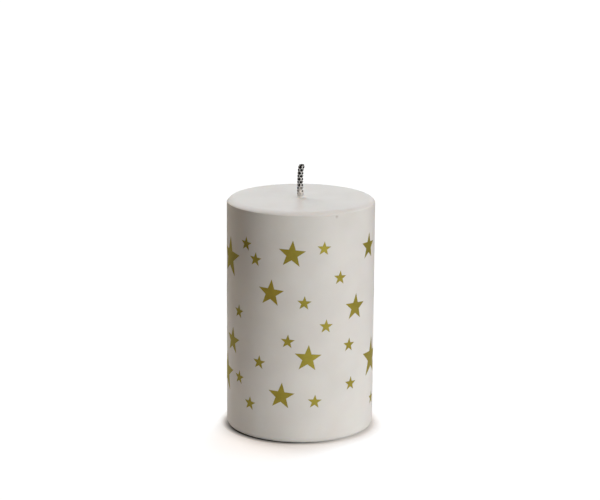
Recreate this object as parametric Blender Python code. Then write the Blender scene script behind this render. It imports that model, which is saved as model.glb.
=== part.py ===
"""Pillar candle with foil stars: cast core, dipped coat, braided wick, wick tab and two rounds of stars.

Metres, +Z up. The origin is the centre of the base, and the front of the artwork faces -Y. A place on the
side is an angle about +Z, counted from the front towards +X, and a height above the base.
"""
import math

import bmesh
import bpy

# Candle body
CANDLE_RADIUS = 0.0350
CANDLE_HEIGHT = 0.1100
SHOULDER_WIDTH = 0.0038
SHOULDER_HEIGHT = 0.0016
SHOULDER_END = 25.0
BASE_EDGE_WIDTH = 0.0014
BASE_EDGE_HEIGHT = 0.0022
BASE_EDGE_START = -60.0
BASE_EDGE_STEPS = 3
COAT_THICKNESS = 0.0012
COAT_GAP = 0.0002
BODY_SEGMENTS = 72
SHOULDER_STEPS = 6

# Low collar that the last dip leaves round the wick
COLLAR_RADIUS = 0.0030
COLLAR_HEIGHT = 0.0012
COLLAR_STEPS = 5

# Wick and its channel
WICK_RADIUS = 0.0014
WICK_SIDES = 20
WICK_FOOT = 0.0006
WICK_STAND = 0.0152
WICK_TIP_RISE = 0.0004
WICK_LEAN = -0.00036
WICK_BOW = -0.00045
WICK_TIP_TURN = 0.00065
WICK_TIP_POWER = 6
WICK_STRAIGHTENING = 0.0050
WICK_RINGS = 14
CHANNEL_RADIUS = 0.0018

# Wick tab, pressed up into a recess in the core's base
TAB_RADIUS = 0.0095
TAB_SHEET = 0.0004
TAB_RAISE = 0.0002
TAB_NECK_RADIUS = 0.0021
TAB_NECK_HEIGHT = 0.0060
TAB_CRIMP_DEPTH = 0.00012
TAB_CRIMP_BOTTOM = 0.0022
TAB_CRIMP_TOP = 0.0046
TAB_SEGMENTS = 36
TAB_CLEARANCE = 0.0003

# Foil stars
STAR_POINTS = 5
GRAND_STAR_RADIUS = 0.0100
LARGE_STAR_RADIUS = 0.00665
SMALL_STAR_RADIUS = 0.0035
STAR_INNER_RATIO = 0.405
STAR_LEAN = 4.0
FOIL_THICKNESS = 0.00008
FOIL_GAP = 0.00005
FOIL_STRIP = 0.0025

# One round of the artwork: degrees from its middle, and millimetres above the base
GRAND_STARS = [(-70, 84), (73, 35), (-80, 27)]
LARGE_STARS = [(65, 90), (-6.5, 90.5), (-23, 71.5), (47, 63), (-65, 44), (6, 41), (-14.5, 22.5)]
SMALL_STARS = [
    (-46, 93), (18, 93), (-36.5, 86.5), (31.5, 78.5), (3, 67.5), (90, 65),
    (-55, 59.5), (20, 56), (-9.5, 49), (40.5, 45.5), (-33, 37.5), (-54.5, 27.5),
    (42.5, 26.5), (11.5, 20), (-42, 16.5), (75.5, 14.5),
]
ROUNDS = {"front": 0.0, "back": 180.0}

WAX_WHITE = (0.85, 0.83, 0.80, 1.0)
WAX_IVORY = (0.82, 0.79, 0.73, 1.0)
WICK_GREY = (0.30, 0.29, 0.27, 1.0)
TIN_GREY = (0.62, 0.62, 0.60, 1.0)
FOIL_GOLD = (0.44, 0.37, 0.06, 1.0)


def clear_scene():
    for thing in list(bpy.data.objects):
        bpy.data.objects.remove(thing, do_unlink=True)


def finish(name, color, roughness, metallic=0.0):
    material = bpy.data.materials.new(name)
    material.use_nodes = True
    shader = material.node_tree.nodes["Principled BSDF"]
    shader.inputs["Base Color"].default_value = color
    shader.inputs["Roughness"].default_value = roughness
    shader.inputs["Metallic"].default_value = metallic
    return material


def place(name, bm, material):
    """Turn a closed bmesh into an object of its own."""
    mesh = bpy.data.meshes.new(name)
    bm.to_mesh(mesh)
    bm.free()
    mesh.shade_smooth()
    mesh.set_sharp_from_angle(angle=math.radians(35.0))
    mesh.materials.append(material)
    solid = bpy.data.objects.new(name, mesh)
    bpy.context.scene.collection.objects.link(solid)
    return solid


def arc(center, width, height, start, end, steps=SHOULDER_STEPS):
    """Points on an elliptic arc in the radius-height plane, from one angle to another in degrees."""
    points = []
    for step in range(steps + 1):
        angle = math.radians(start + (end - start) * step / steps)
        points.append((center[0] + width * math.cos(angle), center[1] + height * math.sin(angle)))
    return points


def shoulder(radius, top, width, height):
    """The rounded shoulder from side to top. It starts at a slant, which leaves a crisp edge on the side."""
    end = math.radians(SHOULDER_END)
    arc_width = width / math.cos(end)
    arc_height = height / (1.0 - math.sin(end))
    return arc((radius - width, top - arc_height), arc_width, arc_height, SHOULDER_END, 90.0)


def revolve(name, outline, segments, material):
    """Turn a closed outline of (radius, height) points once about the candle's axis."""
    bm = bmesh.new()
    corners = [bm.verts.new((radius, 0.0, height)) for radius, height in outline]
    rim = [bm.edges.new((corners[i - 1], corners[i])) for i in range(len(corners))]
    bmesh.ops.spin(
        bm, geom=corners + rim, cent=(0, 0, 0), axis=(0, 0, 1),
        angle=math.tau, steps=segments, use_merge=True,
    )
    bmesh.ops.recalc_face_normals(bm, faces=bm.faces[:])
    return place(name, bm, material)


def make_core():
    radius = CANDLE_RADIUS - COAT_THICKNESS - COAT_GAP
    top = CANDLE_HEIGHT - COAT_THICKNESS - COAT_GAP
    shoulder_width = SHOULDER_WIDTH - COAT_THICKNESS
    shoulder_height = SHOULDER_HEIGHT - COAT_THICKNESS
    recess_radius = TAB_RADIUS + TAB_CLEARANCE
    recess_top = TAB_RAISE + TAB_SHEET + TAB_CLEARANCE
    socket_radius = TAB_NECK_RADIUS + TAB_CLEARANCE
    socket_top = TAB_RAISE + TAB_NECK_HEIGHT + TAB_CLEARANCE
    outline = [(recess_radius, 0.0), (radius, 0.0)]
    outline += shoulder(radius, top, shoulder_width, shoulder_height)
    outline += [(CHANNEL_RADIUS, top), (CHANNEL_RADIUS, socket_top), (socket_radius, socket_top)]
    outline += [(socket_radius, recess_top), (recess_radius, recess_top)]
    return revolve("wax_core", outline, BODY_SEGMENTS, finish("core_wax", WAX_IVORY, 0.6))


def collar_outline():
    """The concave rise from the flat top up to the wick's hole."""
    points = []
    for step in range(1, COLLAR_STEPS + 1):
        share = step / COLLAR_STEPS
        radius = COLLAR_RADIUS + (CHANNEL_RADIUS - COLLAR_RADIUS) * share
        points.append((radius, CANDLE_HEIGHT + COLLAR_HEIGHT * share ** 2))
    return points


def make_coat():
    inner_radius = CANDLE_RADIUS - COAT_THICKNESS
    inner_top = CANDLE_HEIGHT - COAT_THICKNESS
    inner_width = SHOULDER_WIDTH - COAT_THICKNESS
    inner_height = SHOULDER_HEIGHT - COAT_THICKNESS
    base_center = (CANDLE_RADIUS - BASE_EDGE_WIDTH, BASE_EDGE_HEIGHT)
    outline = [(CANDLE_RADIUS - BASE_EDGE_WIDTH / 2, 0.0)]
    outline += arc(base_center, BASE_EDGE_WIDTH, BASE_EDGE_HEIGHT, BASE_EDGE_START, 0.0, BASE_EDGE_STEPS)
    outline += shoulder(CANDLE_RADIUS, CANDLE_HEIGHT, SHOULDER_WIDTH, SHOULDER_HEIGHT)
    outline += [(COLLAR_RADIUS, CANDLE_HEIGHT)]
    outline += collar_outline()
    outline += [(CHANNEL_RADIUS, inner_top)]
    outline += reversed(shoulder(inner_radius, inner_top, inner_width, inner_height))
    outline += [(inner_radius, 0.0)]
    return revolve("wax_coat", outline, BODY_SEGMENTS, finish("coat_wax", WAX_WHITE, 0.4))


def wick_offset(height):
    """Sideways place of the wick's centre line: straight low down, bowed to -X, with its tip turned to +X."""
    above = height - CANDLE_HEIGHT
    if above < 0.0:
        return WICK_LEAN * max(0.0, 1.0 + above / WICK_STRAIGHTENING)
    share = above / WICK_STAND
    return WICK_LEAN + WICK_BOW * share * (1.0 - share) + WICK_TIP_TURN * share ** WICK_TIP_POWER


def make_wick():
    tip = CANDLE_HEIGHT + WICK_STAND
    start_of_bend = CANDLE_HEIGHT - WICK_STRAIGHTENING
    heights = [WICK_FOOT]
    for step in range(WICK_RINGS + 1):
        heights.append(start_of_bend + (tip - start_of_bend) * step / WICK_RINGS)
    bm = bmesh.new()
    rings = []
    for height in heights:
        ring = []
        for side in range(WICK_SIDES):
            angle = math.tau * side / WICK_SIDES
            rise = WICK_TIP_RISE * math.cos(angle) if height == tip else 0.0
            x = wick_offset(height) + WICK_RADIUS * math.cos(angle)
            ring.append(bm.verts.new((x, WICK_RADIUS * math.sin(angle), height + rise)))
        rings.append(ring)
    for lower, upper in zip(rings, rings[1:]):
        for side in range(WICK_SIDES):
            after = (side + 1) % WICK_SIDES
            bm.faces.new((lower[side], lower[after], upper[after], upper[side]))
    bm.faces.new(rings[0][::-1])
    bm.faces.new(rings[-1])
    return place("wick", bm, finish("wick_cotton", WICK_GREY, 0.9))


def make_tab():
    bore = WICK_RADIUS + TAB_CRIMP_DEPTH + COAT_GAP
    sheet_bottom = TAB_RAISE
    sheet_top = TAB_RAISE + TAB_SHEET
    neck_top = TAB_RAISE + TAB_NECK_HEIGHT
    crimp_middle = (TAB_CRIMP_BOTTOM + TAB_CRIMP_TOP) / 2
    outline = [(bore, sheet_bottom), (TAB_RADIUS, sheet_bottom), (TAB_RADIUS, sheet_top)]
    outline += [(TAB_NECK_RADIUS + TAB_SHEET / 2, sheet_top), (TAB_NECK_RADIUS, sheet_top + TAB_SHEET / 2)]
    outline += [(TAB_NECK_RADIUS, TAB_CRIMP_BOTTOM), (TAB_NECK_RADIUS - TAB_CRIMP_DEPTH, crimp_middle)]
    outline += [(TAB_NECK_RADIUS, TAB_CRIMP_TOP), (TAB_NECK_RADIUS, neck_top), (bore, neck_top)]
    outline += [(bore, TAB_CRIMP_TOP), (bore - TAB_CRIMP_DEPTH, crimp_middle), (bore, TAB_CRIMP_BOTTOM)]
    return revolve("wick_tab", outline, TAB_SEGMENTS, finish("tab_tin", TIN_GREY, 0.35, 1.0))


def make_star(name, star_radius, angle, height):
    """Cut a flat star into strips, give it the foil's thickness and wrap it round the candle."""
    bm = bmesh.new()
    points = []
    corners = 2 * STAR_POINTS
    for corner in range(corners):
        reach = star_radius if corner % 2 == 0 else star_radius * STAR_INNER_RATIO
        turn = math.radians(STAR_LEAN) + math.tau * corner / corners
        points.append(bm.verts.new((reach * math.sin(turn), 0.0, reach * math.cos(turn))))
    center = bm.verts.new((0.0, 0.0, 0.0))
    for corner in range(corners):
        bm.faces.new((center, points[(corner + 1) % corners], points[corner]))
    strips = int(star_radius / FOIL_STRIP)
    for strip in range(-strips, strips + 1):
        geometry = bm.verts[:] + bm.edges[:] + bm.faces[:]
        cut = (strip * FOIL_STRIP, 0.0, 0.0)
        bmesh.ops.bisect_plane(bm, geom=geometry, dist=1e-7, plane_co=cut, plane_no=(1, 0, 0))
    raised = bmesh.ops.extrude_face_region(bm, geom=bm.faces[:])
    for item in raised["geom"]:
        if isinstance(item, bmesh.types.BMVert):
            item.co.y = FOIL_THICKNESS
    for vert in bm.verts:
        radius = CANDLE_RADIUS + FOIL_GAP + vert.co.y
        around = math.radians(angle) + vert.co.x / CANDLE_RADIUS
        vert.co = (radius * math.sin(around), -radius * math.cos(around), height + vert.co.z)
    return place(name, bm, finish(name, FOIL_GOLD, 0.35, 0.8))


def make_stars():
    for side, start in ROUNDS.items():
        for size, star_radius, spots in (
            ("grand", GRAND_STAR_RADIUS, GRAND_STARS),
            ("large", LARGE_STAR_RADIUS, LARGE_STARS),
            ("small", SMALL_STAR_RADIUS, SMALL_STARS),
        ):
            for number, (angle, height) in enumerate(spots, start=1):
                make_star(f"star_{size}_{side}_{number:02d}", star_radius, start + angle, height / 1000)


clear_scene()
make_core()
make_coat()
make_wick()
make_tab()
make_stars()
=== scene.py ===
"""Looks of the star-decorated pillar candle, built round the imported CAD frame. Metres, +Z up, front at -Y."""
import math

import bmesh
import bpy
from mathutils import Matrix, Vector, noise


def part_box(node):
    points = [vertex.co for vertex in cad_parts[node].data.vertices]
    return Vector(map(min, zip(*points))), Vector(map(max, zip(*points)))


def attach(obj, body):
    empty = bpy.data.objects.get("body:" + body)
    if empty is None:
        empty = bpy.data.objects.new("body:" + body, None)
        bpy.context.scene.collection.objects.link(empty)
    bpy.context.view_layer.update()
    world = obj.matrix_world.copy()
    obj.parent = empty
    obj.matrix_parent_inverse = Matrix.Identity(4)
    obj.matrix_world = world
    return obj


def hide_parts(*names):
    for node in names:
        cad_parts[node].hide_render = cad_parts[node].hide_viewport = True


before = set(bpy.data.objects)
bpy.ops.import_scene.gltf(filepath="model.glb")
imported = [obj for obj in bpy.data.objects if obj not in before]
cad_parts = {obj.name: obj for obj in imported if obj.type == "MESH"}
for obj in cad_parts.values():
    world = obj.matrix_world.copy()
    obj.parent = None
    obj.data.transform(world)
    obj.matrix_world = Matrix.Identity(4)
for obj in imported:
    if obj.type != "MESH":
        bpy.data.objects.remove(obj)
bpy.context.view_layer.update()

MM = 0.001

# ---------------------------------------------------------------- sizes read from the frame
coat_low, coat_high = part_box("wax_coat")
wick_low, wick_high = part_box("wick")

COAT = 1.2 * MM
COLLAR_HEIGHT = 1.2 * MM
CLIMB_RADIUS = 3.0 * MM
CLIMB_HEIGHT = 1.2 * MM
RADIUS = (coat_high.x - coat_low.x) / 2
TOP = coat_high.z - COLLAR_HEIGHT
SHOULDER_WIDTH = 3.8 * MM
SHOULDER_HEIGHT = 1.4 * MM
SHOULDER_END = 22.0
BASE_WIDTH = 1.4 * MM
BASE_HEIGHT = 2.2 * MM
HOLE_RADIUS = 1.50 * MM
# how far below the shoulder's edge its sag fades out
LIP_BLEND = 6.0 * MM
# relief of the dipped wax: outward or upward heights, and the distances over which they repeat
LUMP_HEIGHT = 0.025 * MM
LUMP_SPACING = 22 * MM
RIPPLE_HEIGHT = 0.010 * MM
RIPPLE_SPACING = 60 * MM
TOP_LUMP_HEIGHT = 0.05 * MM
TOP_LUMP_SPACING = 15 * MM
TOP_STREAK_HEIGHT = 0.015 * MM
TOP_STREAK_LENGTH = 14 * MM
TOP_STREAK_WIDTH = 3.2 * MM
# the bead and the groove at the shoulder's edge: height, half width and drop below the edge
BEAD_HEIGHT = 0.11 * MM
BEAD_WIDTH = 0.20 * MM
BEAD_DROP = 0.20 * MM
GROOVE_DEPTH = 0.035 * MM
GROOVE_WIDTH = 0.35 * MM
GROOVE_DROP = 0.75 * MM
# the pit: direction and half width in degrees, drop below the edge, half height and depth
PIT_TURN = 28.0
PIT_SPREAD = 0.9
PIT_DROP = 1.15 * MM
PIT_HEIGHT = 0.40 * MM
PIT_DEPTH = 0.25 * MM
COAT_SEGMENTS = 360
FOIL_LIFT = 0.004 * MM
FOIL_THICKNESS = 0.030 * MM
FOIL_FACE_LIMIT = 0.7


# ---------------------------------------------------------------- mesh helpers
def new_piece(name, bm, material):
    """Turn a bmesh into a smooth piece that rides on the candle's one body."""
    mesh = bpy.data.meshes.new(name)
    bm.to_mesh(mesh)
    bm.free()
    mesh.shade_smooth()
    mesh.materials.append(material)
    piece = bpy.data.objects.new(name, mesh)
    bpy.context.scene.collection.objects.link(piece)
    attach(piece, "root")
    return piece


def arc(center, width, height, start, end, steps):
    """Points on an elliptic arc in the radius-height plane, angles in degrees."""
    points = []
    for step in range(steps + 1):
        angle = math.radians(start + (end - start) * step / steps)
        points.append((center[0] + width * math.cos(angle), center[1] + height * math.sin(angle)))
    return points


def line(start, end, steps):
    """Points from start to end, without the start."""
    return [
        (start[0] + (end[0] - start[0]) * k / steps, start[1] + (end[1] - start[1]) * k / steps)
        for k in range(1, steps + 1)
    ]


def revolve(outline, segments, place):
    """A closed body from a closed outline of (radius, height).

    place() turns an angle, a radius and a height into a point.
    """
    bm = bmesh.new()
    rings = []
    for radius, height in outline:
        ring = [bm.verts.new(place(math.tau * s / segments, radius, height)) for s in range(segments)]
        rings.append(ring)
    count = len(rings)
    for i in range(count):
        here, there = rings[i], rings[(i + 1) % count]
        for s in range(segments):
            t = (s + 1) % segments
            bm.faces.new((here[s], here[t], there[t], there[s]))
    bmesh.ops.recalc_face_normals(bm, faces=bm.faces[:])
    return bm


def bell(value, center, width):
    return math.exp(-((value - center) / width) ** 2)


def smooth(low, high, value):
    t = min(1.0, max(0.0, (value - low) / (high - low)))
    return t * t * (3.0 - 2.0 * t)


# ---------------------------------------------------------------- the wax surface
def side_relief(angle, height):
    """Outward relief of the wax side in metres. Angle counts from the front towards +X, in radians."""
    around = Vector((math.sin(angle), -math.cos(angle), 0.0)) * 2.2
    lumps = noise.noise(around + Vector((0.0, 0.0, height / LUMP_SPACING)))
    ripple = noise.noise(around * 3.0 + Vector((7.0, 0.0, height / RIPPLE_SPACING)))
    relief = LUMP_HEIGHT * lumps + RIPPLE_HEIGHT * ripple
    # the last dip leaves a low bead along the shoulder's edge at the front right,
    # and a shallow groove all round under the edge
    turn = math.degrees(math.atan2(math.sin(angle), math.cos(angle)))
    lip = TOP - SHOULDER_HEIGHT
    strength = smooth(2.0, 12.0, turn) * (1.0 - smooth(25.0, 28.5, turn))
    relief += BEAD_HEIGHT * bell(height, lip - BEAD_DROP, BEAD_WIDTH) * strength
    relief -= GROOVE_DEPTH * bell(height, lip - GROOVE_DROP, GROOVE_WIDTH)
    # one small pit in the side where the bead ends
    relief -= PIT_DEPTH * bell(turn, PIT_TURN, PIT_SPREAD) * bell(height, lip - PIT_DROP, PIT_HEIGHT)
    return relief


def top_relief(x, y):
    """Upward relief of the flat top in metres."""
    spot = Vector((x / TOP_LUMP_SPACING, y / TOP_LUMP_SPACING, 3.0))
    streak = Vector((x / TOP_STREAK_LENGTH, y / TOP_STREAK_WIDTH, 9.0))
    return TOP_LUMP_HEIGHT * noise.noise(spot) + TOP_STREAK_HEIGHT * noise.noise(streak)


def shoulder_droop(angle):
    """The shoulder's extra drop, as a share of its plain drop: none in front, most round the back left."""
    turn = math.degrees(math.atan2(math.sin(angle), math.cos(angle)))
    right = 0.38 * smooth(76.0, 100.0, turn) + 0.17 * smooth(150.0, 180.0, turn)
    left = 0.55 * smooth(-76.0, -100.0, turn)
    return right + left


def wax_point(angle, radius, height):
    """A point of the wax skin: the plain turned shape plus its relief."""
    out = Vector((math.sin(angle), -math.cos(angle), 0.0))
    x, y = out.x * radius, out.y * radius
    side_share = smooth(RADIUS - SHOULDER_WIDTH * 0.8, RADIUS - 0.1 * MM, radius)
    side_share *= smooth(0.0, 2.0 * MM, height)
    top_share = smooth(TOP - SHOULDER_HEIGHT, TOP, height)
    top_share *= smooth(CLIMB_RADIUS * 0.6, CLIMB_RADIUS * 1.3, radius)
    radius += side_relief(angle, height) * side_share
    height += top_relief(x, y) * top_share
    lip = TOP - SHOULDER_HEIGHT
    height -= (TOP - height) * shoulder_droop(angle) * side_share * smooth(lip - LIP_BLEND, lip, height)
    return Vector((out.x * radius, out.y * radius, height))


def collar_outline():
    """The wax that climbs the wick, from the flat top to the hole."""
    points = []
    steps = 22
    for step in range(1, steps + 1):
        share = step / steps
        radius = CLIMB_RADIUS + (HOLE_RADIUS - CLIMB_RADIUS) * share ** 0.8
        points.append((radius, TOP + CLIMB_HEIGHT * share ** 2.4))
    return points


def coat_outline():
    """The skin's closed outline: outer side, shoulder, top, collar, then back down the inside."""
    base_center = (RADIUS - BASE_WIDTH, BASE_HEIGHT)
    # the shoulder stops short of upright, which leaves a crisp edge above the side
    end = math.radians(SHOULDER_END)
    shoulder_width = SHOULDER_WIDTH / math.cos(end)
    shoulder_height = SHOULDER_HEIGHT / (1.0 - math.sin(end))
    shoulder_center = (RADIUS - SHOULDER_WIDTH, TOP - shoulder_height)
    inner_radius, inner_top = RADIUS - COAT, TOP - COAT
    inner_width, inner_height = SHOULDER_WIDTH - COAT, SHOULDER_HEIGHT - COAT
    outline = [(RADIUS - BASE_WIDTH * 0.75, 0.0)]
    outline += arc(base_center, BASE_WIDTH, BASE_HEIGHT, -75, 0, 12)
    outline += line((RADIUS, BASE_HEIGHT), (RADIUS, TOP - 5 * MM), 66)
    outline += line((RADIUS, TOP - 5 * MM), (RADIUS, TOP - SHOULDER_HEIGHT - 0.1 * MM), 36)
    outline += arc(shoulder_center, shoulder_width, shoulder_height, SHOULDER_END, 90, 28)
    outline += line((RADIUS - SHOULDER_WIDTH, TOP), (CLIMB_RADIUS, TOP), 44)
    outline += collar_outline()
    outline += line((HOLE_RADIUS, TOP + CLIMB_HEIGHT), (HOLE_RADIUS, inner_top), 6)
    inner_center = (inner_radius - inner_width, inner_top - inner_height)
    outline += arc(inner_center, inner_width, inner_height, 90, 0, 10)
    outline += [(inner_radius, 0.0)]
    return outline


# ---------------------------------------------------------------- materials
class Nodes:
    """Short helper round a material's node tree."""

    def __init__(self, name):
        self.material = bpy.data.materials.new(name)
        self.material.use_nodes = True
        self.tree = self.material.node_tree
        self.shader = self.tree.nodes["Principled BSDF"]

    def add(self, kind, **settings):
        node = self.tree.nodes.new(kind)
        for key, value in settings.items():
            if key in node.inputs:
                node.inputs[key].default_value = value
            else:
                setattr(node, key, value)
        return node

    def link(self, source, target):
        self.tree.links.new(source, target)

    def place(self, scale=(1.0, 1.0, 1.0)):
        coords = self.add("ShaderNodeTexCoord")
        mapping = self.add("ShaderNodeMapping")
        mapping.inputs["Scale"].default_value = scale
        self.link(coords.outputs["Object"], mapping.inputs["Vector"])
        return mapping.outputs["Vector"]

    def noise(self, vector, scale, detail=3.0, roughness=0.5):
        node = self.add("ShaderNodeTexNoise", Scale=scale, Detail=detail, Roughness=roughness)
        self.link(vector, node.inputs["Vector"])
        return node.outputs["Fac"]

    def ramp(self, value, stops):
        node = self.add("ShaderNodeValToRGB")
        elements = node.color_ramp.elements
        while len(elements) < len(stops):
            elements.new(0.5)
        for element, (position, color) in zip(elements, stops):
            element.position = position
            element.color = (*color, 1.0)
        self.link(value, node.inputs["Fac"])
        return node.outputs["Color"]

    def span(self, value, low, high, from_low=0.0, from_high=1.0):
        node = self.add("ShaderNodeMapRange")
        node.inputs["From Min"].default_value = from_low
        node.inputs["From Max"].default_value = from_high
        node.inputs["To Min"].default_value = low
        node.inputs["To Max"].default_value = high
        self.link(value, node.inputs["Value"])
        return node.outputs["Result"]

    def mix(self, share, first, second):
        node = self.add("ShaderNodeMix", data_type="RGBA")
        for index, value in ((6, first), (7, second)):
            if isinstance(value, tuple):
                node.inputs[index].default_value = (*value, 1.0)
            else:
                self.link(value, node.inputs[index])
        self.link(share, node.inputs[0])
        return node.outputs[2]

    def math(self, operation, *values):
        node = self.add("ShaderNodeMath", operation=operation)
        for socket, value in zip(node.inputs, values):
            if hasattr(value, "is_output"):
                self.link(value, socket)
            else:
                socket.default_value = value
        return node.outputs[0]

    def vector_math(self, operation, vector, other=None):
        node = self.add("ShaderNodeVectorMath", operation=operation)
        self.link(vector, node.inputs[0])
        if other is not None:
            node.inputs[1].default_value = other
        return node.outputs["Value" if operation in ("LENGTH", "DOT_PRODUCT") else "Vector"]

    def split(self, vector):
        """The X, Y and Z of a vector."""
        node = self.add("ShaderNodeSeparateXYZ")
        self.link(vector, node.inputs["Vector"])
        return node.outputs

    def facing(self, heading, turn):
        """The cosine between a level heading and a direction in degrees from the front towards +X."""
        angle = math.radians(turn)
        return self.vector_math("DOT_PRODUCT", heading, (math.sin(angle), -math.cos(angle), 0.0))

    def bump(self, height, distance, strength=1.0, base=None):
        node = self.add("ShaderNodeBump", Strength=strength, Distance=distance)
        self.link(height, node.inputs["Height"])
        if base is not None:
            self.link(base, node.inputs["Normal"])
        return node.outputs["Normal"]

    def set(self, **values):
        for key, value in values.items():
            socket = self.shader.inputs[key.replace("_", " ")]
            if hasattr(value, "is_output"):
                self.link(value, socket)
            else:
                socket.default_value = value
        return self.material


def coat_wax():
    n = Nodes("coat_wax")
    place = n.place()
    cloud = n.noise(place, 55.0, 4.0)
    streak = n.noise(n.place((60.0, 420.0, 60.0)), 1.0, 3.0)
    grain = n.noise(place, 1900.0, 3.0)
    color = n.ramp(cloud, [(0.35, (0.80, 0.775, 0.745)), (0.65, (0.84, 0.82, 0.79))])
    # painted shadow: the wax top in front of the wick is painted a little darker, for the wick's soft shadow
    # cast forward
    wick_shadow_offset = n.vector_math("ADD", place, (0.5 * MM, 3.5 * MM, -TOP))
    wick_shadow_distance = n.vector_math("LENGTH", n.vector_math("MULTIPLY", wick_shadow_offset, (2.0, 1.0, 1.0)))
    color = n.mix(n.span(wick_shadow_distance, 0.07, 0.0, 2.0 * MM, 9.0 * MM), color, (0.30, 0.20, 0.15))
    # painted shade: the wax colour is darkened in and round the pit at the shoulder's edge
    turn = math.radians(PIT_TURN)
    pit = Vector((RADIUS * math.sin(turn), -RADIUS * math.cos(turn), TOP - SHOULDER_HEIGHT - PIT_DROP))
    from_pit = n.vector_math("LENGTH", n.vector_math("SUBTRACT", place, pit))
    color = n.mix(n.span(from_pit, 0.40, 0.0, 0.25 * MM, 0.90 * MM), color, (0.36, 0.30, 0.26))
    rough = n.span(streak, 0.40, 0.50)
    soft = n.bump(cloud, 0.12 * MM, 0.25)
    normal = n.bump(grain, 0.01 * MM, 0.35, soft)
    return n.set(
        Base_Color=color, Roughness=rough, Normal=normal, IOR=1.44,
        Subsurface_Weight=0.35, Subsurface_Radius=(1.0, 0.75, 0.55), Subsurface_Scale=0.9 * MM,
    )


def core_wax():
    n = Nodes("core_wax")
    place = n.place()
    cloud = n.noise(place, 120.0, 4.0)
    grain = n.noise(place, 900.0, 4.0, 0.65)
    color = n.ramp(cloud, [(0.3, (0.74, 0.70, 0.62)), (0.7, (0.80, 0.77, 0.70))])
    normal = n.bump(grain, 0.06 * MM, 0.5)
    return n.set(Base_Color=color, Roughness=0.62, Normal=normal)


def gold_foil():
    n = Nodes("gold_foil")
    place = n.place()
    cloud = n.noise(place, 260.0, 4.0, 0.6)
    fleck = n.noise(place, 2600.0, 2.0)
    color = n.ramp(cloud, [(0.3, (0.40, 0.335, 0.050)), (0.7, (0.475, 0.397, 0.064))])
    rough = n.span(fleck, 0.50, 0.62)
    normal = n.bump(fleck, 0.008 * MM, 0.4)
    return n.set(Base_Color=color, Metallic=0.68, Roughness=rough, Normal=normal)


def yarn(name, dark):
    """Cotton yarn, with wax soaked up from below, which pales it towards the foot."""
    n = Nodes(name)
    place = n.place()
    fibre = n.noise(n.place((1.0, 1.0, 0.25)), 5200.0, 3.0, 0.7)
    # the dark yarns are coloured near black, as the braid's diamonds between the white yarns are near black
    if dark:
        cotton = n.ramp(fibre, [(0.3, (0.002, 0.002, 0.002)), (0.75, (0.020, 0.019, 0.018))])
    else:
        cotton = n.ramp(fibre, [(0.3, (0.66, 0.65, 0.64)), (0.75, (0.90, 0.89, 0.88))])
    x, _, z = n.split(place)
    # the wax stands higher on the front than at the sides
    height = n.math("MULTIPLY_ADD", n.noise(place, 650.0, 2.0), -3.0 * MM, z)
    height = n.math("MULTIPLY_ADD", n.math("ABSOLUTE", n.math("ADD", x, 0.4 * MM)), 2.4, height)
    soaked = n.span(height, 0.95, 0.0, TOP + 2.0 * MM, TOP + 5.5 * MM)
    color = n.mix(soaked, cotton, (0.76, 0.70, 0.64))
    normal = n.bump(fibre, 0.05 * MM, 0.6)
    return n.set(Base_Color=color, Roughness=0.85, Normal=normal, Specular_IOR_Level=0.2)


def tab_tin():
    n = Nodes("tab_tin")
    brushed = n.noise(n.place((1.0, 18.0, 1.0)), 700.0, 3.0)
    blotch = n.noise(n.place(), 240.0, 3.0)
    color = n.ramp(blotch, [(0.3, (0.55, 0.55, 0.53)), (0.7, (0.68, 0.68, 0.66))])
    rough = n.span(brushed, 0.28, 0.45)
    normal = n.bump(brushed, 0.01 * MM, 0.3)
    return n.set(Base_Color=color, Metallic=1.0, Roughness=rough, Normal=normal)


# ---------------------------------------------------------------- pieces
def make_coat(material):
    bm = revolve(coat_outline(), COAT_SEGMENTS, wax_point)
    coat = new_piece("wax_skin", bm, material)
    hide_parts("wax_coat")


def make_star(node, material):
    """The CAD star, made finer and laid on the wax relief so that the foil follows every lump."""
    bm = bmesh.new()
    bm.from_mesh(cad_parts[node].data)
    bmesh.ops.remove_doubles(bm, verts=bm.verts[:], dist=0.002 * MM)
    bmesh.ops.dissolve_limit(bm, angle_limit=math.radians(0.5), verts=bm.verts[:], edges=bm.edges[:])
    bmesh.ops.triangulate(bm, faces=bm.faces[:])
    long_edges = [edge for edge in bm.edges if edge.calc_length() > 1.0 * MM]
    bmesh.ops.subdivide_edges(bm, edges=long_edges, cuts=2, use_grid_fill=True)
    distances = [math.hypot(vert.co.x, vert.co.y) for vert in bm.verts]
    middle = (min(distances) + max(distances)) / 2
    for vert, distance in zip(bm.verts, distances):
        angle = math.atan2(vert.co.x, -vert.co.y)
        radius = RADIUS + side_relief(angle, vert.co.z) + FOIL_LIFT
        if distance > middle:
            radius += FOIL_THICKNESS
        vert.co = (radius * math.sin(angle), -radius * math.cos(angle), vert.co.z)
    bmesh.ops.recalc_face_normals(bm, faces=bm.faces[:])
    star = new_piece("foil_" + node.removeprefix("star_"), bm, material)
    # the foil's face is shaded as the round side under it, and its cut edges stay flat
    normals = []
    for face in star.data.polygons:
        for index in face.vertices:
            spot = star.data.vertices[index].co
            radial = Vector((spot.x, spot.y, 0.0)).normalized()
            normals.append(radial if face.normal.dot(radial) > FOIL_FACE_LIMIT else face.normal.copy())
    star.data.normals_split_custom_set(normals)
    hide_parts(node)


# the wick's lean, bow and turned tip towards +X, its sway towards +Y, and the filler inside the braid
WICK_LEAN = -0.36 * MM
WICK_BOW = -0.45 * MM
WICK_TIP_TURN = 0.65 * MM
WICK_SWAY = 0.1 * MM
FILLER_WIDE = 1.3 * MM
FILLER_THIN = 0.72 * MM
FILLER_RINGS = 60
FILLER_STOP = 0.9 * MM


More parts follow.
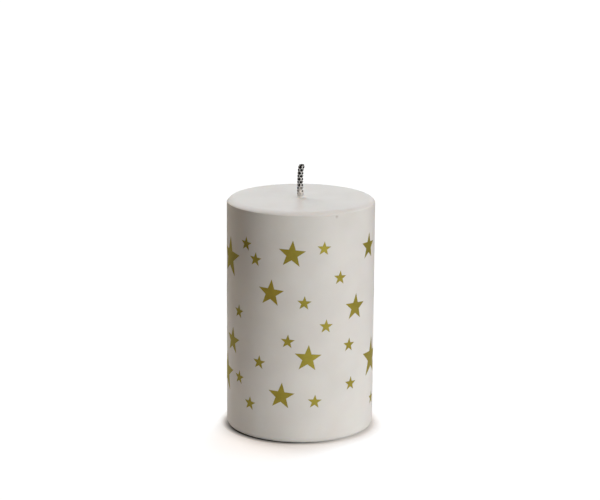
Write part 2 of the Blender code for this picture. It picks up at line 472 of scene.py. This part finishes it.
def wick_center(height):
    """The wick's centre line: straight in its channel, then a little left, with the tip turned right."""
    stand = (height - TOP) / (wick_high.z - TOP)
    if stand < 0.0:
        return Vector((WICK_LEAN * max(0.0, 1.0 + 3.0 * stand), 0.0, height))
    lean = WICK_LEAN + WICK_BOW * stand * (1.0 - stand) + WICK_TIP_TURN * stand ** 6
    return Vector((lean, WICK_SWAY * math.sin(3.0 * stand), height))


def sweep(bm, path, widths, sides=12, squareness=1.0):
    """A closed tube along path; widths gives each point's (outward axis, half width, half thickness)."""
    rings = []
    for i, point in enumerate(path):
        ahead = path[min(i + 1, len(path) - 1)] - path[max(i - 1, 0)]
        ahead.normalize()
        outward, half_width, half_thick = widths[i]
        across = ahead.cross(outward).normalized()
        up = across.cross(ahead).normalized()
        ring = []
        for s in range(sides):
            angle = math.tau * s / sides
            side_share = math.copysign(abs(math.cos(angle)) ** squareness, math.cos(angle))
            up_share = math.copysign(abs(math.sin(angle)) ** squareness, math.sin(angle))
            ring.append(bm.verts.new(point + across * half_width * side_share + up * half_thick * up_share))
        rings.append(ring)
    for lower, upper in zip(rings, rings[1:]):
        for s in range(sides):
            t = (s + 1) % sides
            bm.faces.new((lower[s], lower[t], upper[t], upper[s]))
    bm.faces.new(rings[0][::-1])
    bm.faces.new(rings[-1])


BRAID_YARNS = 8
BRAID_LEAD = 11.4 * MM
BRAID_PHASE = 0.5
BRAID_SHIFT = -1.15 * MM
BRAID_START = TOP - 2.5 * MM
BRAID_STEPS = 160
CUT_SLOPE = 0.05
CUT_DROP = 0.20 * MM
# each yarn's mean reach from the centre line, its weave in and out, its half width and half thickness,
# and how far it frays past the cut
BLACK_YARN = (0.86 * MM, 0.24 * MM, 0.60 * MM, 0.31 * MM, 0.15 * MM)
WHITE_YARN = (0.80 * MM, 0.12 * MM, 0.34 * MM, 0.26 * MM, -0.05 * MM)
CROSS_YARN = (0.84 * MM, 0.14 * MM, 0.26 * MM, 0.24 * MM, -0.30 * MM)


def braid_yarn(bm, number, hand, shape):
    """One yarn of the tubular braid: a helix that passes over and under the yarns of the other hand."""
    reach, weave, half_width, half_thick, fray = shape
    cut = wick_high.z - CUT_DROP
    path, widths = [], []
    for step in range(BRAID_STEPS + 1):
        height = BRAID_START + (cut + fray - BRAID_START) * step / BRAID_STEPS
        turns = (height - TOP - BRAID_SHIFT) / BRAID_LEAD
        angle = math.tau * (hand * turns + (number + BRAID_PHASE) / BRAID_YARNS)
        crossing = 2.0 * BRAID_YARNS * turns
        wave = hand * math.tanh(2.0 * math.cos(math.pi * crossing)) / math.tanh(2.0)
        flare = 1.0 + 0.20 * smooth(cut - 1.6 * MM, cut, height)
        flare += 0.12 * bell(height, TOP + 2.2 * MM, 1.2 * MM)
        outward = Vector((math.sin(angle), -math.cos(angle), 0.0))
        point = wick_center(height) + outward * (reach + weave * wave) * flare
        point.z += CUT_SLOPE * point.x * smooth(cut - 2.0 * MM, cut, height)
        path.append(point)
        widths.append((outward, half_width, half_thick))
    sweep(bm, path, widths, squareness=0.8)


def make_wick(black, white):
    pieces = []
    black_yarns, white_yarns = bmesh.new(), bmesh.new()
    for number in range(BRAID_YARNS):
        if number % 2 == 0:
            braid_yarn(black_yarns, number, 1, BLACK_YARN)
        else:
            braid_yarn(white_yarns, number, 1, WHITE_YARN)
        braid_yarn(white_yarns, number, -1, CROSS_YARN)
    pieces.append(new_piece("wick_black_yarns", black_yarns, black))
    pieces.append(new_piece("wick_white_yarns", white_yarns, white))
    filler = bmesh.new()
    path, widths = [], []
    for step in range(FILLER_RINGS):
        height = wick_low.z + (wick_high.z - FILLER_STOP - wick_low.z) * step / (FILLER_RINGS - 1)
        radius = FILLER_WIDE if height < BRAID_START else FILLER_THIN
        path.append(wick_center(height))
        widths.append((Vector((0.0, -1.0, 0.0)), radius, radius))
    sweep(filler, path, widths, 20)
    pieces.append(new_piece("wick_filler", filler, white))
    for piece in pieces:
        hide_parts("wick")


def repaint_cad(node, material):
    """A carried-over CAD node keeps its shape and gets the good material."""
    node_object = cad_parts[node]
    node_object.data.materials.clear()
    node_object.data.materials.append(material)


# ---------------------------------------------------------------- stage, lights and camera
CAMERA_DISTANCE = 28.66 * RADIUS
CAMERA_ELEVATION = 15.05
CAMERA_PITCH = 13.415
CAMERA_YAW = 0.019
CAMERA_ROLL = 0.384
CAMERA_LENS = 126.0
FLOOR_RADIUS = 0.24
# how much light the paper bounces, and the gain and tint of the shadow that the camera sees on it
FLOOR_BOUNCE = 0.66
FLOOR_GAIN = 1.27
FLOOR_TINT = (1.0, 0.965, 0.94)
# the floor shadow's reach: its least length, and lobes of (direction in degrees, sharpness, length)
SHADOW_LEAST = 4.0 * MM
SHADOW_LOBES = [(-27.0, 5.0, 37 * MM), (35.0, 2.5, 5 * MM)]
SOFT_SHADE = 0.5
# the painted contact shadow, a dark line along the base: its deepest direction, where it starts and ends, and
# its least and most depth
CONTACT_TURN = -35.0
CONTACT_START = -0.5 * MM
CONTACT_END = 3.4 * MM
CONTACT_LEAST = 0.25
CONTACT_MOST = 1.0


def make_camera():
    """The camera stands in front and above, and aims a little over the candle's middle."""
    elevation, pitch = math.radians(CAMERA_ELEVATION), math.radians(CAMERA_PITCH)
    camera = bpy.data.objects.new("camera", bpy.data.cameras.new("camera"))
    bpy.context.scene.collection.objects.link(camera)
    camera.location = (
        0.0,
        -CAMERA_DISTANCE * math.cos(elevation),
        CAMERA_DISTANCE * math.sin(elevation) + TOP / 2,
    )
    camera.rotation_mode = "XYZ"
    tilt = Matrix.Rotation(math.pi / 2 - pitch, 4, "X")
    roll = Matrix.Rotation(math.radians(CAMERA_ROLL), 4, "Z")
    yaw = Matrix.Rotation(math.radians(CAMERA_YAW), 4, "Z")
    camera.rotation_euler = (yaw @ tilt @ roll).to_euler()
    camera.data.sensor_width = 36.0
    camera.data.lens = CAMERA_LENS
    camera.data.clip_start = 0.01
    camera.data.clip_end = 50.0
    bpy.context.scene.camera = camera


def make_floor():
    """A round sheet of white paper. It bounces light, and the camera sees it as white with a soft shadow,
    partly the lamps' own shadow and partly painted shade.
    """
    n = Nodes("floor_white")
    n.shader.inputs["Base Color"].default_value = (FLOOR_BOUNCE, FLOOR_BOUNCE, FLOOR_BOUNCE, 1.0)
    n.shader.inputs["Roughness"].default_value = 0.8
    n.shader.inputs["Specular IOR Level"].default_value = 0.0
    bm = bmesh.new()
    bmesh.ops.create_circle(bm, cap_ends=True, segments=96, radius=FLOOR_RADIUS)
    mesh = bpy.data.meshes.new("floor")
    bm.to_mesh(mesh)
    bm.free()
    mesh.materials.append(n.material)
    floor = bpy.data.objects.new("floor", mesh)
    bpy.context.scene.collection.objects.link(floor)
    # how far out from the candle a floor point is, as a share of the shadow's reach in that direction
    coords = n.add("ShaderNodeTexCoord")
    heading = n.vector_math("NORMALIZE", coords.outputs["Object"])
    beyond = n.math("SUBTRACT", n.vector_math("LENGTH", coords.outputs["Object"]), RADIUS)
    reach = SHADOW_LEAST
    for turn, power, length in SHADOW_LOBES:
        lobe = n.math("POWER", n.math("MAXIMUM", n.facing(heading, turn), 0.0), power)
        reach = n.math("MULTIPLY_ADD", lobe, length, reach)
    share = n.span(n.math("DIVIDE", beyond, reach), 0.0, 1.0, 0.1, 1.0)
    # painted contact shadow: a dark line along the base, deepest on the side turned away from the key light
    depth = n.span(n.facing(heading, CONTACT_TURN), CONTACT_LEAST, CONTACT_MOST, 0.35, 0.9)
    contact = n.math("MULTIPLY", n.span(beyond, 1.0, 0.0, CONTACT_START, CONTACT_END), depth)
    # a softer shade to both sides of the front
    aside = n.math("ABSOLUTE", n.facing(heading, 90.0))
    aside = n.math("MULTIPLY", aside, n.math("MAXIMUM", n.facing(heading, 0.0), 0.0))
    soft = n.math("MULTIPLY", n.span(beyond, SOFT_SHADE, 0.0, 1.0 * MM, 9.0 * MM), aside)
    light = n.math("MULTIPLY", n.math("SUBTRACT", 1.0, contact), n.math("SUBTRACT", 1.0, soft))
    tone = n.math("MULTIPLY", light, FLOOR_GAIN)
    seen = n.add("ShaderNodeBsdfDiffuse")
    tinted = n.add("ShaderNodeCombineColor")
    for socket, share_of_tone in zip(tinted.inputs, FLOOR_TINT):
        n.link(n.math("MULTIPLY", tone, share_of_tone), socket)
    n.link(tinted.outputs[0], seen.inputs["Color"])
    white = n.add("ShaderNodeEmission", Strength=1.05)
    fade = n.add("ShaderNodeMixShader")
    n.link(share, fade.inputs[0])
    n.link(seen.outputs[0], fade.inputs[1])
    n.link(white.outputs[0], fade.inputs[2])
    path = n.add("ShaderNodeLightPath")
    choose = n.add("ShaderNodeMixShader")
    output = n.tree.nodes["Material Output"]
    n.link(path.outputs["Is Camera Ray"], choose.inputs[0])
    n.link(n.shader.outputs[0], choose.inputs[1])
    n.link(fade.outputs[0], choose.inputs[2])
    n.link(choose.outputs[0], output.inputs["Surface"])


SOFTBOXES = {
    # name: (azimuth from the front towards +X, elevation, distance, size, power, color)
    "key_front": (34.5, 16.0, 1.7, 0.9, 15.3, (0.87, 0.95, 0.97)),
    "key_right": (60.0, 20.0, 0.7, 0.4, 1.12, (1.0, 0.80, 0.69)),
    "rim_left": (-138.0, 14.0, 0.6, 0.3, 0.70, (1.0, 0.90, 0.66)),
    "back_high": (-145.0, 42.0, 1.7, 0.9, 10.6, (0.98, 0.97, 1.0)),
    "overhead": (0.0, 89.0, 1.7, 0.9, 6.7, (1.0, 0.88, 0.82)),
    "back_low": (180.0, 20.0, 0.6, 0.4, 0.68, (0.84, 0.96, 1.0)),
    "back_right": (112.0, 30.0, 0.6, 0.4, 0.64, (0.95, 0.98, 1.0)),
    "low_card": (-35.0, -6.0, 0.3, 0.12, 0.039, (1.0, 0.48, 0.02)),
}


def make_lights():
    middle = Vector((0.0, 0.0, TOP / 2))
    for name, (azimuth, elevation, distance, size, power, color) in SOFTBOXES.items():
        lamp = bpy.data.lights.new(name, "AREA")
        lamp.shape = "SQUARE"
        lamp.size = size
        lamp.energy = power
        lamp.color = color
        holder = bpy.data.objects.new(name, lamp)
        a, e = math.radians(azimuth), math.radians(elevation)
        toward = Vector((math.sin(a) * math.cos(e), -math.cos(a) * math.cos(e), math.sin(e)))
        holder.location = middle + toward * distance
        holder.rotation_euler = toward.to_track_quat("Z", "Y").to_euler()
        holder.visible_camera = False
        bpy.context.scene.collection.objects.link(holder)


def make_world():
    """White to the camera, and a dim even fill to everything else."""
    world = bpy.data.worlds.new("studio")
    world.use_nodes = True
    bpy.context.scene.world = world
    tree = world.node_tree
    tree.nodes.clear()
    fill = tree.nodes.new("ShaderNodeBackground")
    fill.inputs["Color"].default_value = (1.0, 0.96, 0.92, 1.0)
    fill.inputs["Strength"].default_value = 0.01
    seen = tree.nodes.new("ShaderNodeBackground")
    seen.inputs["Color"].default_value = (1.0, 1.0, 1.0, 1.0)
    seen.inputs["Strength"].default_value = 1.05
    path = tree.nodes.new("ShaderNodeLightPath")
    choose = tree.nodes.new("ShaderNodeMixShader")
    output = tree.nodes.new("ShaderNodeOutputWorld")
    tree.links.new(path.outputs["Is Camera Ray"], choose.inputs[0])
    tree.links.new(fill.outputs[0], choose.inputs[1])
    tree.links.new(seen.outputs[0], choose.inputs[2])
    tree.links.new(choose.outputs[0], output.inputs["Surface"])


# ---------------------------------------------------------------- build
make_coat(coat_wax())
repaint_cad("wax_core", core_wax())
repaint_cad("wick_tab", tab_tin())
make_wick(yarn("yarn_black", True), yarn("yarn_white", False))
foil = gold_foil()
for star_node in sorted(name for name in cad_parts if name.startswith("star_")):
    make_star(star_node, foil)
make_floor()
make_world()
make_lights()
make_camera()
bpy.context.scene.view_settings.view_transform = "Standard"
bpy.context.scene.view_settings.look = "None"
